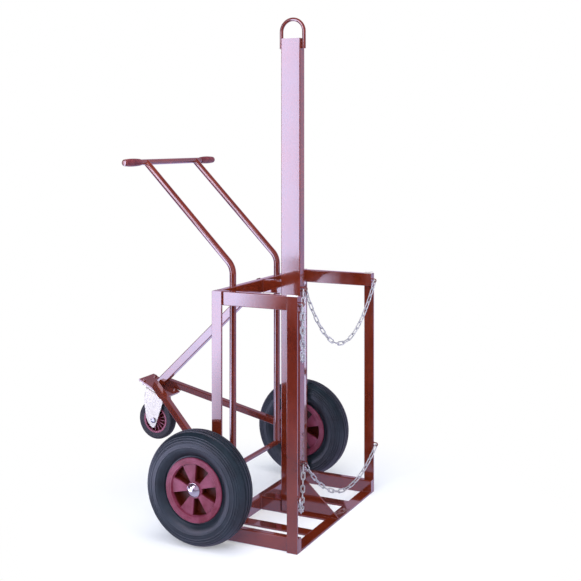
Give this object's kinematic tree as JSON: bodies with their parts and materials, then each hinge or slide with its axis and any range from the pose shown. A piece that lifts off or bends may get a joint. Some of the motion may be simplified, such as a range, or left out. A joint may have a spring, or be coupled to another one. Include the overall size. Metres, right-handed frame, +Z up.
{
  "type": "gas cylinder trolley",
  "caption": "Welded steel hand trolley that carries upright gas cylinders on either side of a tall lifting mast, with chains, a bent handle, large wheels and a rear support castor.",
  "frame": {"origin": "on the floor under the mast's axis, on the underside of the centre floor bar", "axes": "+Z up along the mast, +Y to the handle and castor, -Y to the open loading side, X across between the large wheels"},
  "size_m": [0.952, 0.8944, 1.8731],
  "materials": {
    "red_oxide_paint": "gloss red-oxide enamel on welded steel tube",
    "moulded_centre": "moulded maroon plastic",
    "grip_plastic": "moulded maroon grip",
    "tyre_rubber": "ribbed rubber",
    "castor_rubber": "smooth rubber",
    "chain_zinc": "bright zinc plate",
    "castor_zinc": "bright zinc plate on pressed steel",
    "bright_steel": "zinc plated fasteners and turned steel",
    "chrome": "chrome plate",
    "nylon": "natural nylon"
  },
  "bodies": {
    "frame": {"mast": "red_oxide_paint", "mast_cap": "red_oxide_paint", "lifting_eye": "red_oxide_paint", "mast_gusset": "red_oxide_paint", "front_left_post": "red_oxide_paint", "front_right_post": "red_oxide_paint", "rear_left_post": "red_oxide_paint", "rear_right_post": "red_oxide_paint", "post_caps": "nylon", "left_top_rail": "red_oxide_paint", "right_top_rail": "red_oxide_paint", "rear_top_rail": "red_oxide_paint", "top_tie": "red_oxide_paint", "left_base_rail": "red_oxide_paint", "right_base_rail": "red_oxide_paint", "rear_base_rail": "red_oxide_paint", "rail_end_caps": "red_oxide_paint", "base_tie": "red_oxide_paint", "front_sill": "red_oxide_paint", "left_floor_bar": "red_oxide_paint", "centre_floor_bar": "red_oxide_paint", "right_floor_bar": "red_oxide_paint", "axle": "red_oxide_paint", "axle_collars": "red_oxide_paint", "axle_washers": "bright_steel", "hub_caps": "chrome", "left_handle_tube": "red_oxide_paint", "right_handle_tube": "red_oxide_paint", "handle_bar": "red_oxide_paint", "handle_grips": "grip_plastic", "handle_end_plugs": "red_oxide_paint", "left_castor_arm": "red_oxide_paint", "right_castor_arm": "red_oxide_paint", "castor_mount_plate": "red_oxide_paint", "castor_brace": "red_oxide_paint", "castor_top_plate": "castor_zinc", "castor_bolts": "red_oxide_paint", "castor_nuts": "bright_steel", "castor_kingpin": "bright_steel", "castor_dust_ring": "castor_rubber", "castor_swivel_balls": "bright_steel", "mast_chain_eyes": "red_oxide_paint", "post_chain_eyes": "red_oxide_paint", "chain_end_links": "chain_zinc"},
    "left_wheel": {"left_tyre": "tyre_rubber", "left_wheel_centre": "moulded_centre", "left_wheel_bushes": "nylon"},
    "right_wheel": {"right_tyre": "tyre_rubber", "right_wheel_centre": "moulded_centre", "right_wheel_bushes": "nylon"},
    "castor_swivel": {"castor_fork": "castor_zinc", "castor_axle_bolt": "bright_steel", "castor_axle_nut": "bright_steel"},
    "castor_wheel": {"castor_tyre": "castor_rubber", "castor_wheel_centre": "moulded_centre", "castor_wheel_bush": "nylon"},
    "upper_left_chain": {"upper_left_chain": "chain_zinc"},
    "upper_right_chain": {"upper_right_chain": "chain_zinc"},
    "lower_left_chain": {"lower_left_chain": "chain_zinc"},
    "lower_right_chain": {"lower_right_chain": "chain_zinc"}
  },
  "joints": [
    {"name": "left_wheel_spin", "type": "hinge", "parent": "frame", "child": "left_wheel", "pos_m": [-0.423, 0.156, 0.2], "axis": [1, 0, 0], "continuous": true},
    {"name": "right_wheel_spin", "type": "hinge", "parent": "frame", "child": "right_wheel", "pos_m": [0.423, 0.156, 0.2], "axis": [1, 0, 0], "continuous": true},
    {"name": "castor_swivel_turn", "type": "hinge", "parent": "frame", "child": "castor_swivel", "pos_m": [0, 0.60033, 0.41362], "axis": [0, -0.4258, 0.9048], "continuous": true},
    {"name": "castor_wheel_spin", "type": "hinge", "parent": "castor_swivel", "child": "castor_wheel", "pos_m": [0, 0.60619, 0.28375], "axis": [1, 0, 0], "continuous": true},
    {"name": "upper_left_chain_swing", "type": "hinge", "parent": "frame", "child": "upper_left_chain", "pos_m": [-0.17225, -0.124, 0.81563], "axis": [-0.9087, -0.4175, 0], "range_deg": [-15, 45]},
    {"name": "upper_right_chain_swing", "type": "hinge", "parent": "frame", "child": "upper_right_chain", "pos_m": [0.17225, -0.124, 0.81563], "axis": [-0.9087, 0.4175, 0], "range_deg": [-15, 45]},
    {"name": "lower_left_chain_swing", "type": "hinge", "parent": "frame", "child": "lower_left_chain", "pos_m": [-0.1805, -0.124, 0.16467], "axis": [-0.9162, -0.4007, 0], "range_deg": [-15, 30]},
    {"name": "lower_right_chain_swing", "type": "hinge", "parent": "frame", "child": "lower_right_chain", "pos_m": [0.1805, -0.124, 0.16064], "axis": [-0.9162, 0.4007, 0], "range_deg": [-15, 30]}
  ]
}
